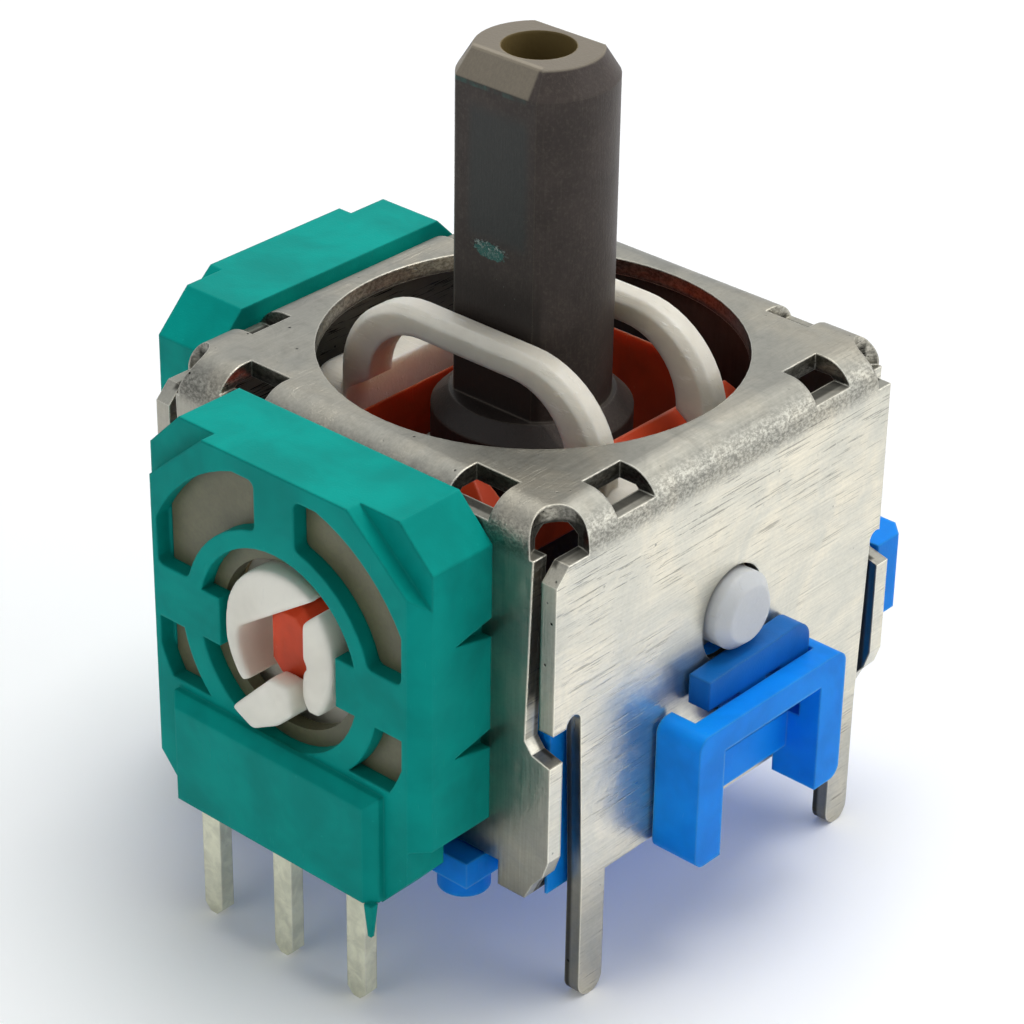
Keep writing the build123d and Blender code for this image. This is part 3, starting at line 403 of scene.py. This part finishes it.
def moulded_finish(
    name, colour, pale, gloss=0.42, mottle=0.10, edge_highlight_share=0.35, glow=0.0, shine=0.2
):
    """Satin moulded plastic: uneven colour, rounded edges painted paler as a highlight, dust and
    handling marks.
    """
    finish = Finish(name, Specular_IOR_Level=shine, Subsurface_Weight=glow, Subsurface_Scale=0.0004)
    finish.shader.inputs["Subsurface Radius"].default_value = (1.0, 1.0, 1.0)
    edge = finish.soften_edges(radius=0.10)
    cloud = finish.noise(2.2, detail=3, roughness=0.6, distortion=0.3)
    dust = finish.cells(0.7).fade(0.025, 0.06)
    grain = finish.noise(0.07, detail=2, roughness=0.6)
    rub = finish.noise(0.5, detail=4, roughness=0.7, distortion=0.8).ramp(0.58, 0.8)
    nick = finish.noise(0.05, at=finish.placed(stretch=(1, 1, 12), turn=(0.4, 0.3, 0)))
    marks = nick.ramp(0.70, 0.75) * cloud.ramp(0.45, 0.6)
    darker, lighter = shaded(colour, 1 - 1.6 * mottle), shaded(colour, 1 + mottle)
    base = finish.mix(cloud.ramp(0.3, 0.7), darker, lighter)
    # Painted highlight: the rounded edges paler
    base = finish.mix((edge * edge_highlight_share).least(1.0), base, pale)
    base = finish.mix(dust * 0.22 + rub * 0.08 + marks * 0.25, base, pale)
    finish.feed("Base Color", base)
    finish.feed("Roughness", gloss + 0.10 * cloud + 0.12 * rub)
    finish.bump(grain + cloud * 3 - marks * 2, depth=0.004)
    return finish


def stick_finish(colour):
    """Glass-filled taupe nylon with a scuff on its flat; its top, front chamfer and edges painted
    paler as a highlight, and its front low down painted darker as shade.
    """
    finish = Finish("stick_plastic", Specular_IOR_Level=0.2)
    edge = finish.soften_edges(radius=0.10)
    across, depth, height = finish.along("X"), finish.along("Y"), finish.along("Z")
    grain = finish.noise(0.09, detail=3, roughness=0.7)
    cloud = finish.noise(1.6, detail=4, roughness=0.65, distortion=0.4)
    drag = finish.noise(0.05, detail=3, roughness=0.6, at=finish.placed(stretch=(1, 1, 14)))

    # Places on the stick: its front flat, the chamfer above it, the top, the foot and the bore
    front = depth.fade(-1.42, -1.3)
    chamfer = height.ramp(stick_top - 0.68, stick_top - 0.63) * depth.fade(-1.05, -0.9)
    chamfer = chamfer * across.fade(0.95, 1.05)
    lid = height.ramp(stick_top - 0.06, stick_top - 0.01)
    worn = front * across.band(0.1, 0.75, 0.3) * height.band(stick_top - 2.9, 1.4, 0.5)
    # Painted shade: the front flat darker low down, towards the opening
    foot_shade = front * height.fade(stick_top - 6.2, stick_top - 5.0)
    bore = ((across * across + depth * depth) ** 0.5).fade(0.90, 0.93)
    bore = bore * height.ramp(stick_top - 3.0, stick_top - 1.0, 0.3, 1.0)
    lip = front * height.band(stick_top - 0.72, 0.03, 0.05) * across.fade(0.9, 1.0)
    lip = lip * cloud.ramp(0.35, 0.6)

    # The scuff: a ragged oval smear of pot plastic, torn along its top, with specks below it
    ragged = finish.noise(0.16, detail=4, roughness=0.7, distortion=0.4)
    scuff_height = stick_top - 4.84
    oval = ((across + 0.12) / 0.55) ** 2 + ((height - scuff_height) / 0.24) ** 2
    scuff = front * (oval + 1.4 * ragged).fade(1.35, 1.6)
    upper = height.band(scuff_height + 0.14, 0.05, 0.12) * (oval + 1.6 * ragged).fade(1.7, 2.1)
    fleck = finish.noise(0.07, detail=3, roughness=0.8).ramp(0.50, 0.60) * front
    torn = upper * fleck + fleck * scuff * 0.35
    speck = finish.cells(0.22).fade(0.03, 0.05) * front
    speck = speck * height.band(scuff_height - 0.56, 0.3, 1.0) * across.band(0.6, 0.4, 0.3)

    base = finish.mix(cloud.ramp(0.3, 0.7), shaded(colour, 0.8), shaded(colour, 1.15))
    base = finish.mix(grain.ramp(0.45, 0.8) * 0.14, base, STICK_PALE)
    base = finish.mix(drag.ramp(0.55, 0.8) * 0.10, base, STICK_PALE)
    base = finish.mix(worn * 0.8, base, STICK_WORN)
    base = finish.mix(foot_shade * 0.85, base, shaded(colour, 0.4))
    # Painted highlight: edges, top and front chamfer paler
    paler_and_highlight_share = edge * 0.35 + lid * 0.62 + chamfer * (0.55 + 0.4 * drag)
    base = finish.mix(paler_and_highlight_share.least(1.0), base, STICK_PALE)
    base = finish.mix(bore, base, STICK_BORE)
    base = finish.mix((scuff * 0.75 + lip * 0.6).least(1.0), base, STICK_RUBBED)
    base = finish.mix((torn * 0.9 + speck * 0.4).least(1.0), base, STICK_TORN)
    finish.feed("Base Color", base)
    finish.feed("Roughness", 0.33 + 0.18 * grain + 0.1 * drag - 0.12 * scuff - 0.08 * worn)
    finish.bump(grain + cloud * 2 + drag * 0.6 - scuff * 3 + torn * 3, depth=0.008)
    return finish


def nylon_finish(colour):
    """Milky nylon that light enters a little, with glossy streaks, a few scuffs, edges painted
    paler as a highlight, and the nub tinted by painted blue light.
    """
    finish = Finish(
        "bail_nylon", Subsurface_Weight=0.6, Subsurface_Scale=0.0009, IOR=1.53, Coat_Roughness=0.12
    )
    finish.shader.inputs["Subsurface Radius"].default_value = (1.0, 0.9, 0.75)
    edge = finish.soften_edges(radius=0.16)
    cloud = finish.noise(1.3, detail=4, roughness=0.6, distortion=0.5)
    streak = finish.noise(0.10, detail=3, roughness=0.6, at=finish.placed(stretch=(14, 1, 1)))
    smear = finish.noise(0.16, detail=4, roughness=0.7, at=finish.placed(stretch=(4, 1, 1)))
    scuffed = smear.ramp(0.58, 0.68)
    nub = finish.along("X").ramp(wall_middle - 0.4, wall_middle + 0.4)
    base = finish.mix(cloud.ramp(0.3, 0.75), shaded(colour, 0.86), colour)
    # Painted highlight: the edges paler; the scuffs paler too
    paler_and_highlight_share = scuffed * cloud.ramp(0.5, 0.6) * 0.5 + edge * 0.2
    base = finish.mix(paler_and_highlight_share.least(1.0), base, NYLON_PALE)
    # Painted light: the nub tinted blue from the parts around it
    base = finish.mix(nub * 0.8, base, NUB_PAINTED_BLUE_LIGHT)
    finish.feed("Base Color", base)
    finish.feed("Roughness", 0.24 + 0.24 * streak + 0.1 * scuffed)
    finish.feed("Coat Weight", 0.25 * streak.ramp(0.3, 0.6))
    finish.bump(streak + cloud * 2 + scuffed * 0.8, depth=0.010)
    return finish


def board_finish(colour):
    """Phenolic board, mottled with the dark of its printed track."""
    finish = Finish("resistor_board")
    grain = finish.noise(0.12, detail=4, roughness=0.7)
    cloud = finish.noise(1.0, detail=3, roughness=0.6)
    base = finish.mix(cloud.ramp(0.3, 0.7), shaded(colour, 0.82), shaded(colour, 1.12))
    base = finish.mix(grain.ramp(0.4, 0.75) * 0.35, base, BOARD_TRACK)
    finish.feed("Base Color", base)
    finish.feed("Roughness", 0.30 + 0.2 * grain)
    finish.bump(grain, depth=0.006)
    return finish


def tin_finish(name, colour):
    """Dull hot-tinned strip with a slightly lumpy coat, its edges painted paler as a highlight."""
    finish = Finish(name, Metallic=0.45)
    edge = finish.soften_edges(radius=0.07)
    lump = finish.noise(0.45, detail=3, roughness=0.6, distortion=0.5)
    grain = finish.noise(0.07, detail=3, roughness=0.7)
    base = finish.mix(lump.ramp(0.3, 0.7), shaded(colour, 0.78), colour)
    # Painted highlight: the edges paler
    base = finish.mix(edge * 0.4, base, TIN_EDGE)
    finish.feed("Base Color", base)
    finish.feed("Roughness", 0.34 + 0.2 * grain)
    finish.bump(lump * 3 + grain, depth=0.012)
    return finish


class PieceColours(bpy.types.PropertyGroup):
    """Colours that a user would change."""

    can: bpy.props.FloatVectorProperty(
        name="Can",
        description="Plated steel of the can",
        subtype="COLOR",
        default=(0.88, 0.85, 0.75),
    )
    pots: bpy.props.FloatVectorProperty(
        name="Pots",
        description="Housings of the side pots",
        subtype="COLOR",
        default=(0.001, 0.31, 0.27),
    )
    base: bpy.props.FloatVectorProperty(
        name="Base",
        description="Moulded base and its bracket",
        subtype="COLOR",
        default=(0.003, 0.26, 0.94),
    )
    stick: bpy.props.FloatVectorProperty(
        name="Stick",
        description="Stick and its collar",
        subtype="COLOR",
        default=(0.054, 0.042, 0.037),
    )
    yoke: bpy.props.FloatVectorProperty(
        name="Yoke",
        description="Slotted yoke under the can",
        subtype="COLOR",
        default=(0.66, 0.07, 0.02),
    )
    nylon: bpy.props.FloatVectorProperty(
        name="Nylon",
        description="Bail and nub",
        subtype="COLOR",
        default=(0.76, 0.72, 0.63),
    )
    rotor: bpy.props.FloatVectorProperty(
        name="Rotors",
        description="Rotors with their fingers",
        subtype="COLOR",
        default=(0.94, 0.91, 0.80),
    )
    board: bpy.props.FloatVectorProperty(
        name="Boards",
        description="Resistor boards behind the windows",
        subtype="COLOR",
        default=(0.145, 0.14, 0.075),
    )
    pins: bpy.props.FloatVectorProperty(
        name="Pins",
        description="Tinned pins of the pots",
        subtype="COLOR",
        default=(0.86, 0.85, 0.66),
    )


class StageSizes(bpy.types.PropertyGroup):
    """Where the camera stands, and how large the floor is."""

    camera_place: bpy.props.FloatVectorProperty(
        name="Camera",
        description="Place of the camera",
        subtype="TRANSLATION",
        unit="LENGTH",
        default=(0.048284, -0.055366, 0.048087),
    )
    camera_aim: bpy.props.FloatVectorProperty(
        name="Aim",
        description="Point in the middle of the view",
        subtype="TRANSLATION",
        unit="LENGTH",
        default=(-0.00134, 0.000829, 0.004798),
    )
    camera_roll: bpy.props.FloatProperty(
        name="Roll",
        description="Tilt of the picture",
        subtype="ANGLE",
        default=radians(0.919),
    )
    lens: bpy.props.FloatProperty(
        name="Lens",
        description="Focal length on a 36 mm sensor",
        unit="CAMERA",
        default=118.35,
        min=1,
    )
    floor_side: bpy.props.FloatProperty(
        name="Floor",
        description="Side of the square floor",
        unit="LENGTH",
        default=1.2,
    )


class MODULE_OT_can(bpy.types.Operator):
    """Finish the steel can"""

    bl_idname = "module.can"
    bl_label = "Steel can"

    def execute(self, context):
        coat(steel_finish("can_plate", context.scene.piece_colours.can, edge_highlight=0.35), "cover")
        return {"FINISHED"}


class MODULE_OT_base(bpy.types.Operator):
    """Finish the moulded base and the click lever"""

    bl_idname = "module.base"
    bl_label = "Base and lever"

    def execute(self, context):
        colour = context.scene.piece_colours.base
        blue = moulded_finish("base_plastic", colour, BASE_EDGE, gloss=0.38, glow=0.3, shine=0.1)
        # Painted shade: the lever gets the base's blue darkened to 0.55, and a darker edge colour
        darker = shaded(colour, 0.55)
        lever = moulded_finish("lever_plastic", darker, LEVER_EDGE, gloss=0.40, edge_highlight_share=0.3)
        coat(blue, "base")
        coat(lever, "click_lever")
        return {"FINISHED"}


class MODULE_OT_stick(bpy.types.Operator):
    """Finish the stick"""

    bl_idname = "module.stick"
    bl_label = "Stick"

    def execute(self, context):
        coat(stick_finish(context.scene.piece_colours.stick), "stick")
        return {"FINISHED"}


class MODULE_OT_gimbal(bpy.types.Operator):
    """Finish the bail, the spring shoe and the yoke, and make the return spring"""

    bl_idname = "module.gimbal"
    bl_label = "Bail, yoke and spring"

    def execute(self, context):
        colours = context.scene.piece_colours
        red = moulded_finish(
            "yoke_plastic", colours.yoke, YOKE_EDGE,
            gloss=0.36, mottle=0.14, edge_highlight_share=0.25, glow=0.3,
        )
        wire = steel_finish("spring_wire", WIRE_GREY, edge_highlight=0.1)
        coat(nylon_finish(colours.nylon), "bail", "spring_shoe")
        coat(red, "yoke")
        coat(wire, "return_spring")
        coil_spring(wire)
        return {"FINISHED"}


class MODULE_OT_pots(bpy.types.Operator):
    """Finish the pot housings, boards and wipers, and round the rotors"""

    bl_idname = "module.pots"
    bl_label = "Pots"

    def execute(self, context):
        colours = context.scene.piece_colours
        teal = moulded_finish("pot_plastic", colours.pots, POT_EDGE, shine=0.05)
        white = moulded_finish(
            "rotor_plastic", colours.rotor, ROTOR_EDGE,
            gloss=0.36, mottle=0.06, edge_highlight_share=0.3, glow=0.3, shine=0.3,
        )
        coat(teal, "front_housing", "left_housing")
        coat(board_finish(colours.board), "front_board", "left_board")
        coat(white, "front_rotor", "left_rotor")
        coat(tin_finish("wiper_strip", WIPER_BRONZE), "front_wiper", "left_wiper")
        for name in ("front_rotor", "left_rotor"):
            round_off(name, white)
        return {"FINISHED"}


class MODULE_OT_pins(bpy.types.Operator):
    """Finish the tinned pins"""

    bl_idname = "module.pins"
    bl_label = "Pins"

    def execute(self, context):
        finish = tin_finish("pin_tin", context.scene.piece_colours.pins)
        coat(finish, *[name for name in nodes if "_pin_" in name])
        return {"FINISHED"}


class MODULE_OT_stage(bpy.types.Operator):
    """Set the floor, the lamps, the world and the camera"""

    bl_idname = "module.stage"
    bl_label = "Stage"

    def execute(self, context):
        sizes = context.scene.stage_sizes
        lay_floor(sizes.floor_side)
        hang_lamps()
        light_world(context.scene)
        place_camera(context.scene, sizes)
        context.scene.view_settings.view_transform = "Standard"
        return {"FINISHED"}


def seen_directly(finish):
    """One where a camera, a shiny surface or a clear one looks, and zero for light that spreads."""
    camera, glossy, clear = (
        finish.node("ShaderNodeLightPath", {}, [], output)
        for output in ("Is Camera Ray", "Is Glossy Ray", "Is Transmission Ray")
    )
    return camera.most(glossy).most(clear)


def lay_floor(side):
    """A white floor that keeps the module's shadow."""
    bpy.ops.object.select_all(action="DESELECT")
    bpy.ops.mesh.primitive_plane_add(size=side, location=(0, 0, board_plane))
    floor = bpy.context.object
    floor.name = "floor"
    finish = Finish(
        "floor_paper", Base_Color=(*FLOOR_WHITE, 1), Roughness=0.8, Specular_IOR_Level=0.1
    )
    lift = seen_directly(finish) * FLOOR_GLOW
    glow = finish.node("ShaderNodeEmission", {}, {"Color": (1, 1, 1, 1), "Strength": lift})
    paper = Shade(finish, finish.shader.outputs[0])
    both = finish.node("ShaderNodeAddShader", {}, [paper, glow])
    output = finish.tree.nodes["Material Output"]
    finish.tree.links.new(both.socket, output.inputs["Surface"])
    floor.data.materials.append(finish.material)


def hang_lamps():
    """Soft boxes: the main one above and behind, weaker ones at the right and in front."""
    for name, place, size, watts, tint in (
        ("main_lamp", (-0.02, 0.11, 0.38), 0.30, 1.38, (1.0, 0.99, 0.96)),
        ("right_lamp", (0.30, 0.20, 0.20), 0.34, 0.42, (1.0, 0.99, 0.97)),
        ("front_lamp", (-0.08, -0.40, 0.20), 0.30, 0.26, (0.98, 0.99, 1.0)),
    ):
        bpy.ops.object.select_all(action="DESELECT")
        bpy.ops.object.light_add(type="AREA", location=place)
        lamp = bpy.context.object
        lamp.name = name
        lamp.data.size = size
        lamp.data.energy = watts
        lamp.data.color = tint
        lamp.rotation_mode = "QUATERNION"
        lamp.rotation_quaternion = (-Vector(place)).to_track_quat("-Z", "Y")


def light_world(scene):
    """A dim even sky that cameras and shiny surfaces see as white."""
    world = bpy.data.worlds.new("studio")
    scene.world = world
    world.use_nodes = True
    strength = seen_directly(Sky(world.node_tree)) * SKY_SHOWN + SKY_LIGHT
    background = world.node_tree.nodes["Background"]
    background.inputs["Color"].default_value = (*SKY_WHITE, 1)
    world.node_tree.links.new(strength.socket, background.inputs["Strength"])


def place_camera(scene, sizes):
    """The camera at the photograph's angle, with its slight roll."""
    place, aim = Vector(sizes.camera_place), Vector(sizes.camera_aim)
    back = (place - aim).normalized()
    right = Vector((0, 0, 1)).cross(back).normalized()
    up = back.cross(right)
    upright = Matrix((right, up, back)).transposed().to_4x4()
    roll = Matrix.Rotation(sizes.camera_roll, 4, "Z")
    bpy.ops.object.camera_add()
    camera = bpy.context.object
    camera.name = "camera"
    camera.data.sensor_width = 36
    camera.data.lens = sizes.lens
    camera.data.clip_start = 0.001
    camera.data.clip_end = 10
    camera.matrix_world = Matrix.Translation(place) @ upright @ roll
    scene.camera = camera


class MODULE_PT_sidebar(bpy.types.Panel):
    """The pieces of the module, in the order in which they are finished"""

    bl_idname = "MODULE_PT_sidebar"
    bl_label = "Thumb-stick module"
    bl_space_type = "VIEW_3D"
    bl_region_type = "UI"
    bl_category = "Thumb stick"

    def draw(self, context):
        for operator in operators:
            self.layout.operator(operator.bl_idname)
        for group in (context.scene.piece_colours, context.scene.stage_sizes):
            for key in group.bl_rna.properties.keys():
                if key not in ("rna_type", "name"):
                    self.layout.prop(group, key)


operators = (
    MODULE_OT_can,
    MODULE_OT_base,
    MODULE_OT_stick,
    MODULE_OT_gimbal,
    MODULE_OT_pots,
    MODULE_OT_pins,
    MODULE_OT_stage,
)
classes = (PieceColours, StageSizes, *operators, MODULE_PT_sidebar)


def register():
    for each in classes:
        bpy.utils.register_class(each)
    bpy.types.Scene.piece_colours = bpy.props.PointerProperty(type=PieceColours)
    bpy.types.Scene.stage_sizes = bpy.props.PointerProperty(type=StageSizes)


def unregister():
    del bpy.types.Scene.stage_sizes
    del bpy.types.Scene.piece_colours
    for each in reversed(classes):
        bpy.utils.unregister_class(each)


def main():
    register()
    bpy.ops.module.can()
    bpy.ops.module.base()
    bpy.ops.module.stick()
    bpy.ops.module.gimbal()
    bpy.ops.module.pots()
    bpy.ops.module.pins()
    bpy.ops.module.stage()


if __name__ == "__main__":
    main()
